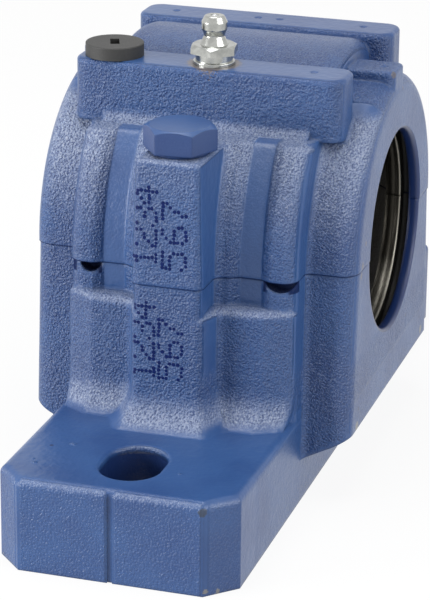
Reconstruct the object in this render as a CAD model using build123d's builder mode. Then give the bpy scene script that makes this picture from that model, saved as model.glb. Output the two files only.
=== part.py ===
from build123d import *
import os
from math import cos, radians, sin, sqrt, tan

# Split plummer block: a two-part cast-iron housing that clamps a self-aligning
# ball bearing on an adapter sleeve.  X runs along the feet, Y is the shaft axis,
# Z is up, and the origin is at the middle of the mounting face.  Lengths in mm.

os.makedirs("parts", exist_ok=True)

# ---- main sizes of the housing ----
base_length = 205.0          # over both feet
foot_width = 60.0
foot_height = 23.6
foot_corner = 7.0            # cut corners of the feet, in plan
foot_edge = 2.2              # rounding of the feet's upper edges
shaft_height = 60.0          # mounting face to shaft axis; the castings part here
bolt_pitch = 170.0           # between the two foot slots
slot_width = 15.0
slot_length = 20.0
slot_edge = 0.9
centre_mark_width = 1.3      # cast line in the middle of each foot end
centre_mark_depth = 0.5

# ---- cored pockets in the underside ----
end_pocket_middle = 52.5
end_pocket_length = 27.0
end_pocket_depth = 16.0
mid_pocket_length = 60.0
mid_pocket_depth = 8.0
pocket_width = 42.0
pocket_corner = 5.0
pocket_draft = 4.0           # degrees

# ---- cast walls ----
body_width = 84.5            # over both machined end faces
chamber_width = 59.0         # the wider drum between the two end rings
chamber_radius = 50.5        # outside of the drum beside the bolts
crown_radius = 48.3          # outside of the drum on top
ring_radius = 41.0           # outside of the two end rings
ring_round = 4.6             # rounding from the ring to the end face
ring_root = 2.0              # hollow corner between ring and drum
ring_stub = 0.5              # plain ring drawn beyond that hollow
drum_round = 4.0
parting_step = 0.4           # the base casting is this much smaller all round
ring_spread = 3.2            # the base's end rings widen by this towards the foot
ring_bottom = 17.6           # underside of the end rings at the end face
ring_bottom_root = 11.5      # and where it meets the foot
drum_spread = 0.8            # draft of the base drum over its height

# ---- bolt pillars ----
cap_bolt_spacing = 102.0     # between the two cap bolts
pillar_rise = 31.6           # shaft axis to the seat of the bolt heads
pillar_reach = 11.0          # from the bolt axis to the pillar's outer face
pillar_half = 9.2
pillar_draft = 1.7           # degrees
pillar_round = 2.2
pillar_hollow = 3.0          # hollow corner between pillar and drum
pillar_rim = 1.2             # rounding of the pillar's upper rim

# ---- recesses beside the pillars, and the bays under them ----
recess_inner = 13.6          # from the middle of the pillar
recess_land = 7.7            # left between the recess and the drum's end
recess_depth = 1.3
recess_slope = 2.4           # run of the recess's sloping sides
recess_round = 2.2
recess_clear = 0.4           # the base's recess is drawn this far past its wall
bay_drop = 7.0               # joint to the ledge where the base thickens
bay_proud = 4.0              # the bay wall stands this far outside the drum
bay_half = 22.0
bay_step = 0.4
pillar_splay = 2.4           # the pillar's foot is wider by this where it meets the bay wall
pillar_share = 0.9           # share of the hollow that the pillar's foot spreads by
ledge_round = 2.0
foot_blend = 10.0            # big hollow radius from the walls into the feet
blend_levels = 7
blend_tuck = 0.15            # the wall's end draws in by this share of its spread
blend_sink = 0.6             # the blend starts this far below the foot's top

# ---- flats on the crown ----
flat_rise = 46.8             # shaft axis to the top of the two long flats
flat_inner = 17.6            # from the middle to the near edge of a flat
flat_outer = 31.0
flat_overhang = 5.7          # the flats run this far past the drum's ends
flat_corner = 4.2
flat_edge = 1.1
shelf_hollow = 3.0           # hollow corner where a flat's wall meets the shelf
shelf_rim = 2.5              # rounding from the shelf down to the drum
hollow_bed = 1.0             # the hollow's strip reaches this far into the iron
tab_half_width = 5.6
tab_rise = 43.3
tab_corner = 2.2
tab_set_back = 0.3           # the tab ends this far short of the end face
tab_edge = 0.9
dimple_radius = 1.1
dimple_depth = 0.7
dimple_line = 24.3           # the dimples on a flat, from the middle
dimple_far = 26.0
dimple_near = 3.0
tab_dimple_inset = 4.25      # from the end face

# ---- pry slots on the parting line ----
pry_notch_inset = 5.8        # from the drum's end
pry_notch_radius = 2.6
pry_moon_inset = 4.2         # from the drum's end
pry_moon_half = 4.0
pry_moon_height = 2.7
pry_depth = 4.2

# ---- inside of the housing ----
seat_radius = 42.5           # bearing seat
seat_width = 30.0
relief_radius = 43.7
relief_half = 21.0
throat_radius = 31.0         # where the cored cavity meets the end wall
throat_inset = 9.45          # end face to the cored cavity
inner_land_radius = 27.2
seal_groove_radius = 30.6
seal_groove_inset = 2.85     # end face to the groove
seal_groove_width = 2.5
opening_radius = 26.2        # the painted mouth in the end faces
opening_chamfer = 0.7
witness_line_inset = 6.95    # fine turned line in the inner land
witness_line_width = 0.3
witness_line_depth = 0.35

# ---- cap bolts, dowels ----
bolt_radius = 5.0
bolt_hole_radius = 5.5
thread_gap = 0.05
bolt_length = 50.0
bolt_flats = 16.0
bolt_head_height = 6.1
bolt_collar_radius = 7.3
bolt_collar_height = 0.8
bolt_point = 1.0
bolt_turn = 36.0             # how far each head stands turned, degrees
bolt_turn_right = 21.0
tapped_extra = 4.0           # thread left below the bolt's end
dowel_radius = 2.0
dowel_length = 12.0
dowel_x = 35.5
dowel_inset = 7.25           # from the end face
dowel_gap = 0.03
dowel_end_gap = 0.5
dowel_point = 0.4

# ---- grease nipple ----
port_line = 24.3             # both ports, from the middle
port_duct_radius = 2.0
port_extra = 1.5             # thread below the nipple's end
nipple_thread_radius = 5.0
nipple_thread_length = 6.0
nipple_flats = 11.0
nipple_turn = 9.0
nipple_collar_radius = 5.3
nipple_collar_height = 1.0
nipple_waist_radius = 4.7
nipple_waist_height = 1.9
nipple_hex_height = 2.2
nipple_cone_radius = 3.6
nipple_cone_height = 2.2
nipple_neck_radius = 2.55
nipple_head_radius = 3.25
nipple_head_height = 5.1
nipple_head_taper = 1.7      # cone above the neck
nipple_crown_radius = 2.4
nipple_crown_height = 1.6
nipple_round = 0.5
nipple_duct_radius = 0.8
nipple_bore_radius = 1.35
nipple_ledge_depth = 9.0     # spring seat, below the top
nipple_lip = 0.35            # the crimped edge that holds the ball
nipple_seat_radius = 1.0
nipple_ball_radius = 1.25
nipple_ball_gap = 0.02
spring_wire_radius = 0.15
spring_turns = 5
spring_gap = 0.05

# ---- plug ----
plug_y = 26.3
plug_head_radius = 7.4
plug_head_height = 3.3
plug_shank_radius = 5.0
plug_shank_length = 7.0
plug_slot_width = 2.3
plug_slot_length = 5.2
plug_slot_depth = 2.2
plug_turn = 21.0
plug_edge = 0.35
plug_wall = 1.6
plug_floor = 1.4             # left between the slot and the hollow shank

# ---- bearing, locating rings ----
bearing_width = 23.0
seat_gap = 0.03
pitch_radius = 32.3
ball_radius = 5.2
row_offset = 5.4
balls_per_row = 15
raceway_gap = 0.05
inner_shoulder_radius = 30.0
inner_land_middle = 30.8
ring_chamfer = 1.0
bore_chamfer = 0.6
cage_inner = 31.6
cage_outer = 33.9
cage_side = 8.2
pocket_gap = 0.18
locating_ring_inner = 38.0
locating_ring_gap = 0.05
locating_ring_cut = 18.0     # opening of the ring, degrees

# ---- adapter sleeve, washer and nut ----
shaft_radius = 20.0
taper_run = 12.0             # the bore's width grows by 1 in this much
bore_small_radius = 22.5
sleeve_gap = 0.02
sleeve_front = 3.0           # how far the sleeve stands out in front
sleeve_rear = 14.5           # and behind the bearing
sleeve_slit = 3.0
sleeve_edge = 0.5
washer_gap = 0.3
washer_thickness = 1.25
washer_body_radius = 29.5
washer_tab_radius = 33.5
washer_tabs = 13
washer_tab_width = 4.6
washer_key_width = 2.6       # the inner tab that lies in the sleeve's slit
washer_bend_height = 4.0     # one outer tab is bent into the nut
nut_radius = 32.5
nut_width = 11.0
nut_slots = 4
nut_slot_width = 6.4
nut_slot_depth = 2.6
nut_chamfer = 1.2
nut_thread_gap = 0.05
stack_gap = 0.02

# ---- places that follow from the sizes above ----
half_width = body_width / 2
base_half_width = half_width - parting_step / 2
drum_half = chamber_width / 2
seat_half = seat_width / 2
bolt_x = cap_bolt_spacing / 2
pillar_face = bolt_x + pillar_reach
pillar_top = shaft_height + pillar_rise
flat_height = shaft_height + flat_rise
tab_height = shaft_height + tab_rise
bay_top = shaft_height - bay_drop
flat_half_length = drum_half + flat_overhang
recess_outer = drum_half - recess_land
recess_flare = recess_slope / 2 + recess_clear * recess_slope / recess_depth
pry_notch_middle = drum_half - pry_notch_inset
pry_moon_middle = drum_half - pry_moon_inset
throat_half = half_width - throat_inset
seal_groove_outer = half_width - seal_groove_inset
seal_groove_inner = seal_groove_outer - seal_groove_width
witness_line_half = half_width - witness_line_inset
tab_dimple = half_width - tab_dimple_inset
dowel_y = half_width - dowel_inset
axis = Axis((0, 0, shaft_height), (0, 1, 0))
split_plane = Plane.XY.offset(shaft_height)
base_drum = chamber_radius - parting_step
base_pillar = pillar_face - parting_step
base_ring = ring_radius - parting_step
port_depth = nipple_thread_length + port_extra
pry_moon_radius = (pry_moon_half ** 2 + pry_moon_height ** 2) / (2 * pry_moon_height)
bearing_half = bearing_width / 2
row_reach = sqrt(pitch_radius ** 2 + row_offset ** 2)
raceway_radius = row_reach + ball_radius + raceway_gap
taper_slope = 1 / (2 * taper_run)
bore_large_radius = bore_small_radius + taper_slope * bearing_width
flat_middle = (flat_inner + flat_outer) / 2
flat_breadth = flat_outer - flat_inner
sides = (-1, 1)

# =====================================================================
# CAVITY: the seat, the cored relief and the seal lands, turned about the shaft
# =====================================================================
with BuildPart() as cavity:
    with BuildSketch(split_plane):
        with BuildLine():
            Polyline(
                (0, 0),
                (seat_radius, 0),
                (seat_radius, seat_half),
                (relief_radius, seat_half),
                (relief_radius, relief_half),
                (throat_radius, throat_half),
                (inner_land_radius, throat_half),
                (inner_land_radius, witness_line_half - witness_line_width),
                (inner_land_radius + witness_line_depth, witness_line_half),
                (inner_land_radius, witness_line_half + witness_line_width),
                (inner_land_radius, seal_groove_inner),
                (seal_groove_radius, seal_groove_inner),
                (seal_groove_radius, seal_groove_outer),
                (opening_radius, seal_groove_outer),
                (opening_radius, half_width - opening_chamfer),
                (opening_radius + opening_chamfer, half_width),
                (opening_radius + opening_chamfer, half_width + 2),
                (0, half_width + 2),
                close=True,
            )
        make_face()
        mirror(about=Plane.XZ)
    revolve(axis=axis)

# =====================================================================
# LONG FLATS on the crown: one carries the nipple and the plug
# =====================================================================
with BuildPart() as crown_flat:
    with BuildSketch(Plane.XY.offset(shaft_height + throat_radius)):
        RectangleRounded(flat_breadth, 2 * flat_half_length, flat_corner)
    extrude(amount=flat_height - shaft_height - throat_radius)
    fillet(crown_flat.faces().sort_by(Axis.Z)[-1].edges(), flat_edge)

# =====================================================================
# BOLT PILLAR of the cap, drafted, with rounded corners
# =====================================================================
with BuildPart() as pillar:
    with BuildSketch(split_plane):
        with Locations(((pillar_face + flat_outer) / 2, 0)):
            Rectangle(pillar_face - flat_outer, 2 * pillar_half)
        fillet(vertices().group_by(Axis.X)[-1], pillar_round)
    extrude(amount=pillar_top - shaft_height, taper=pillar_draft)
    fillet(edges().filter_by_position(Axis.Z, pillar_top - 0.01, pillar_top + 0.01)
           .filter_by(lambda e: e.center().X > flat_outer + 0.1), pillar_rim)

# =====================================================================
# SHOULDERS: the wider drum beside the bolts, cut level with the bolt seats
# =====================================================================
with BuildPart() as shoulders:
    with BuildSketch(split_plane):
        with BuildLine():
            Polyline(
                (0, 0),
                (chamber_radius, 0),
                (chamber_radius, recess_inner - recess_slope / 2),
                (chamber_radius - recess_depth, recess_inner + recess_slope / 2),
                (chamber_radius - recess_depth, recess_outer - recess_slope / 2),
                (chamber_radius, recess_outer + recess_slope / 2),
                (chamber_radius, drum_half),
                (ring_radius, drum_half),
                (ring_radius, drum_half + ring_root + ring_stub),
                (0, drum_half + ring_root + ring_stub),
                close=True,
            )
        make_face()
        fillet(vertices().filter_by_position(Axis.Y, recess_inner - recess_slope,
                                             recess_outer + recess_slope), recess_round)
        fillet(vertices().filter_by_position(Axis.X, chamber_radius - 0.01, chamber_radius + 0.01)
               .filter_by_position(Axis.Y, drum_half - 0.01, drum_half + 0.01), drum_round)
        fillet(vertices().filter_by_position(Axis.X, ring_radius - 0.01, ring_radius + 0.01)
               .filter_by_position(Axis.Y, drum_half - 0.01, drum_half + 0.01), ring_root)
        mirror(about=Plane.XZ)
    revolve(axis=axis, revolution_arc=-180)
    with Locations((0, 0, pillar_top)):
        Box(3 * chamber_radius, 3 * chamber_width, chamber_radius,
            align=(Align.CENTER, Align.CENTER, Align.MIN), mode=Mode.SUBTRACT)
    Box(2 * flat_inner, 3 * chamber_width, 6 * chamber_radius, mode=Mode.SUBTRACT)
    fillet(edges().filter_by_position(Axis.Z, pillar_top - 0.01, pillar_top + 0.01)
           .filter_by(lambda e: abs(e.center().X) > flat_inner + 1
                      and abs(e.center().Y) < drum_half - 0.01), shelf_rim)

# =====================================================================
# HOLLOW CORNER where a flat's wall meets the shelf
# =====================================================================
with BuildPart() as wall_hollow:
    with BuildSketch(Plane.XZ):
        with BuildLine():
            RadiusArc((flat_outer + shelf_hollow, pillar_top),
                      (flat_outer, pillar_top + shelf_hollow), shelf_hollow)
            Polyline(
                (flat_outer, pillar_top + shelf_hollow),
                (flat_outer - hollow_bed, pillar_top + shelf_hollow),
                (flat_outer - hollow_bed, pillar_top - hollow_bed),
                (flat_outer + shelf_hollow, pillar_top - hollow_bed),
                (flat_outer + shelf_hollow, pillar_top),
            )
        make_face()
    extrude(amount=drum_half - shelf_rim, both=True)

# =====================================================================
# TAB between the long flats, above each end ring
# =====================================================================
with BuildPart() as tab:
    with BuildSketch(Plane.XY.offset(shaft_height + throat_radius)):
        with Locations((0, (half_width - tab_set_back + seat_half) / 2)):
            Rectangle(2 * tab_half_width, half_width - tab_set_back - seat_half)
        fillet(vertices().group_by(Axis.Y)[-1], tab_corner)
    extrude(amount=tab_height - shaft_height - throat_radius)
    fillet(tab.faces().sort_by(Axis.Z)[-1].edges(), tab_edge)

# =====================================================================
# CAP
# =====================================================================
with BuildPart() as cap:
    # crown: drum and both end rings in one turning, upper half only
    with BuildSketch(split_plane):
        with BuildLine():
            Polyline(
                (0, -half_width),
                (ring_radius, -half_width),
                (ring_radius, -drum_half),
                (crown_radius, -drum_half),
                (crown_radius, drum_half),
                (ring_radius, drum_half),
                (ring_radius, half_width),
                (0, half_width),
                close=True,
            )
        make_face()
        fillet(vertices().group_by(Axis.X)[-1], drum_round)
        fillet(vertices().filter_by_position(Axis.Y, half_width - 0.1, half_width + 0.1)
               .filter_by_position(Axis.X, 1, ring_radius + 1), ring_round)
        fillet(vertices().filter_by_position(Axis.Y, -half_width - 0.1, 0.1 - half_width)
               .filter_by_position(Axis.X, 1, ring_radius + 1), ring_round)
        fillet(vertices().filter_by_position(Axis.X, ring_radius - 0.01, ring_radius + 0.01)
               .filter_by_position(Axis.Y, -drum_half - 0.01, drum_half + 0.01), ring_root)
    revolve(axis=axis, revolution_arc=-180)
    # level shelves round the bolt heads
    for side in sides:
        with Locations((side * (flat_outer + chamber_radius), 0, pillar_top)):
            Box(2 * chamber_radius, 2 * body_width, chamber_radius,
                align=(Align.CENTER, Align.CENTER, Align.MIN), mode=Mode.SUBTRACT)
    add(shoulders.part)
    add(pillar.part)
    add(mirror(pillar.part, about=Plane.YZ))
    for side in sides:
        with Locations((side * flat_middle, 0, 0)):
            add(crown_flat.part)
    add(tab.part)
    add(mirror(tab.part, about=Plane.XZ))
    # hollow corners: pillar to drum, and flat to shelf
    fillet(cap.edges().filter_by(GeomType.ELLIPSE)
           .filter_by(lambda e: abs(e.center().X) > flat_outer
                      and abs(abs(e.center().Y) - pillar_half) < 2), pillar_hollow)
    add(wall_hollow.part)
    add(mirror(wall_hollow.part, about=Plane.YZ))
    add(cavity.part, mode=Mode.SUBTRACT)
    # bolt holes
    with Locations(*[(side * bolt_x, 0, shaft_height) for side in sides]):
        Cylinder(bolt_hole_radius, pillar_top - shaft_height + 1,
                 align=(Align.CENTER, Align.CENTER, Align.MIN), mode=Mode.SUBTRACT)
    # ports of the nipple and the plug: threaded above, a duct below
    with Locations((-port_line, 0, flat_height), (-port_line, plug_y, flat_height)):
        Cylinder(nipple_thread_radius + thread_gap, port_depth,
                 align=(Align.CENTER, Align.CENTER, Align.MAX), mode=Mode.SUBTRACT)
        Cylinder(port_duct_radius, flat_height - shaft_height,
                 align=(Align.CENTER, Align.CENTER, Align.MAX), mode=Mode.SUBTRACT)
    # centre dimples on the flats and tabs
    with Locations((-dimple_line, -dimple_far, flat_height),
                   (dimple_line, dimple_far, flat_height),
                   (dimple_line, dimple_near, flat_height),
                   (dimple_line, -dimple_near, flat_height),
                   (dimple_line, -dimple_far, flat_height),
                   (0, tab_dimple, tab_height),
                   (0, -tab_dimple, tab_height)):
        Cone(0.25, dimple_radius, dimple_depth,
             align=(Align.CENTER, Align.CENTER, Align.MAX), mode=Mode.SUBTRACT)
    # dowel holes in the end rings, on opposite corners
    with Locations(*[(side * dowel_x, -side * dowel_y, shaft_height) for side in sides]):
        Cylinder(dowel_radius + dowel_gap, dowel_length + 2 * dowel_end_gap,
                 mode=Mode.SUBTRACT)

# =====================================================================
# BASE
# =====================================================================
with BuildPart() as foot_walls:
    # walls and pillar under the ledge, flowing into the foot
    for level in range(blend_levels + 1):
        drop = foot_blend * (1 - sin(radians(90 * level / blend_levels)))
        rise = foot_blend * (1 - cos(radians(90 * level / blend_levels)))
        with BuildSketch(Plane.XY.offset(foot_height - blend_sink + rise)):
            with BuildLine():
                FilletPolyline(
                    (flat_inner, blend_tuck * drop - drum_half),
                    (base_drum + drop, blend_tuck * drop - drum_half),
                    (base_drum + bay_proud + drop, -bay_half),
                    (base_drum + bay_proud + bay_step + drop, -pillar_half - pillar_splay - drop / 2),
                    (base_pillar + pillar_share * drop, parting_step - pillar_half - drop / 2),
                    (base_pillar + pillar_share * drop, pillar_half - parting_step + drop / 2),
                    (base_drum + bay_proud + bay_step + drop, pillar_half + pillar_splay + drop / 2),
                    (base_drum + bay_proud + drop, bay_half),
                    (base_drum + drop, drum_half - blend_tuck * drop),
                    (flat_inner, drum_half - blend_tuck * drop),
                    radius=pillar_round,
                    close=True,
                )
            make_face()
    loft()
    extrude(faces().sort_by(Axis.Z)[-1], amount=bay_top - foot_height + blend_sink - foot_blend)
    extrude(faces().sort_by(Axis.Z)[0], amount=foot_edge)
    fillet(edges().filter_by_position(Axis.Z, bay_top - 0.01, bay_top + 0.01)
           .filter_by(lambda e: e.center().X > flat_inner + 0.1), ledge_round)

with BuildPart() as foot_plate:
    # both feet in one plate
    with BuildSketch():
        Rectangle(base_length, foot_width)
        chamfer(vertices(), foot_corner)
    extrude(amount=foot_height)
    fillet(faces().sort_by(Axis.Z)[-1].edges(), foot_edge)

with BuildPart() as base:
    # drum, slightly drafted, down to the mounting face
    with BuildSketch():
        RectangleRounded(2 * (base_drum + drum_spread), foot_width, drum_round)
    with BuildSketch(split_plane):
        RectangleRounded(2 * base_drum, chamber_width - parting_step, drum_round)
    loft(ruled=True)
    # end rings, widening downwards, with a sloping underside
    with BuildSketch(Plane.XY.offset(ring_bottom_root)):
        RectangleRounded(2 * (base_ring + ring_spread), 2 * base_half_width, ring_round)
    with BuildSketch(split_plane):
        RectangleRounded(2 * base_ring, 2 * base_half_width, ring_round)
    loft(ruled=True)
    fillet(edges().filter_by(lambda e: e.length > shaft_height / 2
                             and abs(abs(e.center().X) - base_ring) < ring_spread
                             and abs(abs(e.center().Y) - drum_half) < 0.6), ring_root)
    add(foot_plate.part)
    for side in sides:
        with BuildSketch(Plane.YZ.offset(-base_length / 2)):
            with BuildLine():
                Polyline(
                    (side * foot_width / 2, ring_bottom_root),
                    (side * base_half_width, ring_bottom),
                    (side * (base_half_width + 1), ring_bottom),
                    (side * (base_half_width + 1), 0),
                    (side * foot_width / 2, 0),
                    close=True,
                )
            make_face()
        extrude(amount=base_length, mode=Mode.SUBTRACT)
    # walls and pillar feet at both ends
    add(foot_walls.part)
    add(mirror(foot_walls.part, about=Plane.YZ))
    # pillars between the ledge and the parting face
    for side in sides:
        with BuildSketch(Plane.XY.offset(bay_top - ledge_round)):
            with Locations((side * (flat_outer + base_drum) / 2, 0)):
                Rectangle(base_drum - flat_outer, 2 * (pillar_half + pillar_hollow + 1))
            with Locations((side * (flat_outer + base_pillar) / 2, 0)):
                Rectangle(base_pillar - flat_outer, 2 * (pillar_half - parting_step))
            fillet(vertices().filter_by(
                lambda v: abs(abs(v.X) - base_drum) < 0.01
                and abs(abs(v.Y) - pillar_half + parting_step) < 0.01), pillar_hollow)
            fillet(vertices().filter_by(
                lambda v: abs(abs(v.X) - base_pillar) < 0.01), pillar_round)
        extrude(amount=shaft_height - bay_top + ledge_round)
    # recesses beside the pillars, down to the ledge, with sloping sides
    with BuildSketch(Plane.XY.offset(bay_top)):
        for side in sides:
            for hand in sides:
                with BuildLine():
                    Polyline(
                        (side * (base_drum + recess_clear), hand * (recess_inner - recess_flare)),
                        (side * (base_drum - recess_depth), hand * (recess_inner + recess_slope / 2)),
                        (side * (base_drum - recess_depth), hand * (recess_outer - recess_slope / 2)),
                        (side * (base_drum + recess_clear), hand * (recess_outer + recess_flare)),
                        close=True,
                    )
                make_face()
        fillet(vertices().filter_by(
            lambda v: abs(abs(v.X) - base_drum + recess_depth) < 0.01), recess_round)
    extrude(amount=shaft_height - bay_top, mode=Mode.SUBTRACT)
    add(cavity.part, mode=Mode.SUBTRACT)
    # slots for the foundation bolts, with a broken upper edge
    with BuildSketch(Plane.XY.offset(foot_height)):
        with Locations(*[(side * bolt_pitch / 2, 0) for side in sides]):
            SlotOverall(slot_length, slot_width)
    extrude(amount=-foot_height, mode=Mode.SUBTRACT)
    fillet(edges().filter_by_position(Axis.Z, foot_height - 0.01, foot_height + 0.01)
           .filter_by(lambda e: abs(abs(e.center().X) - bolt_pitch / 2) < slot_length / 2 + 0.1
                      and abs(e.center().Y) < slot_width / 2 + 0.1), slot_edge)
    # tapped holes of the cap bolts
    with Locations(*[(side * bolt_x, 0, pillar_top - bolt_length - tapped_extra)
                     for side in sides]):
        Cylinder(bolt_radius + thread_gap, bolt_length + tapped_extra,
                 align=(Align.CENTER, Align.CENTER, Align.MIN), mode=Mode.SUBTRACT)
    # dowel holes
    with Locations(*[(side * dowel_x, -side * dowel_y, shaft_height) for side in sides]):
        Cylinder(dowel_radius + dowel_gap, dowel_length + 2 * dowel_end_gap,
                 mode=Mode.SUBTRACT)
    # pry slots under the joint: a half-round on two corners, a half-moon on the others
    for side in sides:
        with Locations(Location((side * (chamber_radius - pry_depth), -side * pry_notch_middle,
                                 shaft_height), (0, 90 * side, 0))):
            Cylinder(pry_notch_radius, 4 * pry_depth,
                     align=(Align.CENTER, Align.CENTER, Align.MIN), mode=Mode.SUBTRACT)
        with Locations(Location((side * (chamber_radius - pry_depth), side * pry_moon_middle,
                                 shaft_height - pry_moon_height + pry_moon_radius),
                                (0, 90 * side, 0))):
            Cylinder(pry_moon_radius, 4 * pry_depth,
                     align=(Align.CENTER, Align.CENTER, Align.MIN), mode=Mode.SUBTRACT)
    # cored pockets in the underside, with ribs left between them
    with BuildSketch():
        with Locations(*[(side * end_pocket_middle, 0) for side in sides]):
            RectangleRounded(end_pocket_length, pocket_width, pocket_corner)
    extrude(amount=end_pocket_depth, taper=pocket_draft, mode=Mode.SUBTRACT)
    with BuildSketch():
        RectangleRounded(mid_pocket_length, pocket_width, pocket_corner)
    extrude(amount=mid_pocket_depth, taper=pocket_draft, mode=Mode.SUBTRACT)
    # cast centre line on each foot end
    with Locations(*[(side * base_length / 2, 0, foot_height / 2) for side in sides]):
        Box(2 * centre_mark_depth, centre_mark_width, foot_height, mode=Mode.SUBTRACT)


# =====================================================================
# FASTENERS of the cap
# =====================================================================
def hexagon_head(across_flats, height, turn):
    """A hexagon whose upper corners are turned off, standing on the XY plane."""
    corner = across_flats / sqrt(3)
    face = 0.47 * across_flats
    with BuildPart() as head:
        with BuildSketch():
            RegularPolygon(corner, 6, rotation=turn)
        extrude(amount=height)
        with BuildSketch(Plane.XZ):
            Polygon((0, 0), (corner, 0), (corner, height - (corner - face) * tan(radians(30))),
                    (face, height), (0, height), align=None)
        revolve(axis=Axis.Z, mode=Mode.INTERSECT)
    return head.part


cap_bolts = {}
for side, turn in ((-1, bolt_turn), (1, bolt_turn_right)):
    with BuildPart() as cap_bolt:
        with Locations((side * bolt_x, 0, pillar_top)):
            Cylinder(bolt_collar_radius, bolt_collar_height,
                     align=(Align.CENTER, Align.CENTER, Align.MIN))
        with Locations((side * bolt_x, 0, pillar_top + bolt_collar_height)):
            add(hexagon_head(bolt_flats, bolt_head_height, turn))
        with Locations((side * bolt_x, 0, pillar_top)):
            Cylinder(bolt_radius, bolt_length, align=(Align.CENTER, Align.CENTER, Align.MAX))
        chamfer(cap_bolt.edges().group_by(Axis.Z)[0], bolt_point)
    cap_bolts[side] = cap_bolt

dowels = {}
for side in sides:
    with BuildPart() as dowel:
        with Locations((side * dowel_x, -side * dowel_y, shaft_height)):
            Cylinder(dowel_radius, dowel_length)
        chamfer(dowel.edges().filter_by(GeomType.CIRCLE), dowel_point)
    dowels[side] = dowel

# =====================================================================
# PLUG of the second port: a moulded cap with a hollow shank
# =====================================================================
with BuildPart() as plug:
    with Locations((-port_line, plug_y, flat_height)):
        Cylinder(plug_head_radius, plug_head_height,
                 align=(Align.CENTER, Align.CENTER, Align.MIN))
    fillet(plug.edges().group_by(Axis.Z)[-1], plug_edge)
    with Locations((-port_line, plug_y, flat_height)):
        Cylinder(plug_shank_radius, plug_shank_length,
                 align=(Align.CENTER, Align.CENTER, Align.MAX))
    with Locations((-port_line, plug_y, flat_height - plug_shank_length)):
        Cylinder(plug_shank_radius - plug_wall,
                 plug_shank_length + plug_head_height - plug_slot_depth - plug_floor,
                 align=(Align.CENTER, Align.CENTER, Align.MIN), mode=Mode.SUBTRACT)
    with BuildSketch(Plane.XY.offset(flat_height + plug_head_height)):
        with Locations((-port_line, plug_y)):
            Rectangle(plug_slot_length, plug_slot_width, rotation=plug_turn)
    extrude(amount=-plug_slot_depth, mode=Mode.SUBTRACT)

# =====================================================================
# GREASE NIPPLE: turned body, ball and spring
# =====================================================================
waist_top = nipple_collar_height + nipple_waist_height
hex_top = waist_top + nipple_hex_height
neck_z = hex_top + nipple_cone_height
nipple_top = neck_z + nipple_head_height
ledge_z = nipple_top - nipple_ledge_depth
lip_z = nipple_top - nipple_lip
ball_z = lip_z - sqrt(nipple_ball_radius ** 2 - nipple_seat_radius ** 2) - nipple_ball_gap

with BuildPart() as nipple_body:
    with BuildSketch(Plane.XZ):
        with BuildLine():
            FilletPolyline(
                (0, -nipple_thread_length),
                (nipple_thread_radius, -nipple_thread_length),
                (nipple_thread_radius, 0),
                (nipple_collar_radius, 0),
                (nipple_collar_radius, nipple_collar_height),
                (nipple_waist_radius, nipple_collar_height),
                (nipple_waist_radius, waist_top),
                (nipple_cone_radius, waist_top),
                (nipple_cone_radius, hex_top),
                (nipple_neck_radius, neck_z),
                (nipple_head_radius, neck_z + nipple_head_taper),
                (nipple_head_radius, nipple_top - nipple_crown_height),
                (nipple_crown_radius, nipple_top),
                (0, nipple_top),
                radius=(nipple_round, 0, 0, 0.3, 0, 0, 0, 0, nipple_round, nipple_round,
                        nipple_round, nipple_round),
            )
            Line((0, nipple_top), (0, -nipple_thread_length))
        make_face()
    revolve(axis=Axis.Z)
    with Locations((0, 0, waist_top)):
        add(hexagon_head(nipple_flats, nipple_hex_height, nipple_turn))
    # bore for ball and spring, duct below, crimped lip above
    with BuildSketch(Plane.XZ):
        Polygon(
            (0, -nipple_thread_length),
            (nipple_duct_radius, -nipple_thread_length),
            (nipple_duct_radius, ledge_z),
            (nipple_bore_radius, ledge_z),
            (nipple_bore_radius, lip_z - nipple_lip),
            (nipple_seat_radius, lip_z),
            (nipple_seat_radius, nipple_top),
            (0, nipple_top),
            align=None,
        )
    revolve(axis=Axis.Z, mode=Mode.SUBTRACT)

with BuildPart() as nipple_ball:
    with Locations((0, 0, ball_z)):
        Sphere(nipple_ball_radius)

coil_radius = nipple_bore_radius - spring_wire_radius - spring_gap
coil_low = ledge_z + spring_wire_radius
coil_high = ball_z - sqrt((nipple_ball_radius + spring_wire_radius) ** 2 - coil_radius ** 2) - spring_gap
with BuildPart() as nipple_spring:
    with BuildLine():
        Helix(pitch=(coil_high - coil_low) / spring_turns, height=coil_high - coil_low,
              radius=coil_radius, center=(0, 0, coil_low))
    with BuildSketch(Plane(origin=(coil_radius, 0, coil_low), z_dir=(0, 1, 0))):
        Circle(spring_wire_radius)
    sweep(is_frenet=True)

# the three nipple pieces are drawn about the Z axis and set over their port
nipple_place = Location((-port_line, 0, flat_height))

# =====================================================================
# BEARING: spherical outer ring, inner ring with two grooves, cage, two rows of balls
# =====================================================================
outer_race_radius = seat_radius - seat_gap

with BuildPart() as outer_ring:
    with BuildSketch(split_plane):
        with Locations(((outer_race_radius + inner_shoulder_radius) / 2, 0)):
            Rectangle(outer_race_radius - inner_shoulder_radius, bearing_width)
        chamfer(vertices().group_by(Axis.X)[-1], ring_chamfer)
        Circle(raceway_radius, mode=Mode.SUBTRACT)
    revolve(axis=axis)

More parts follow.
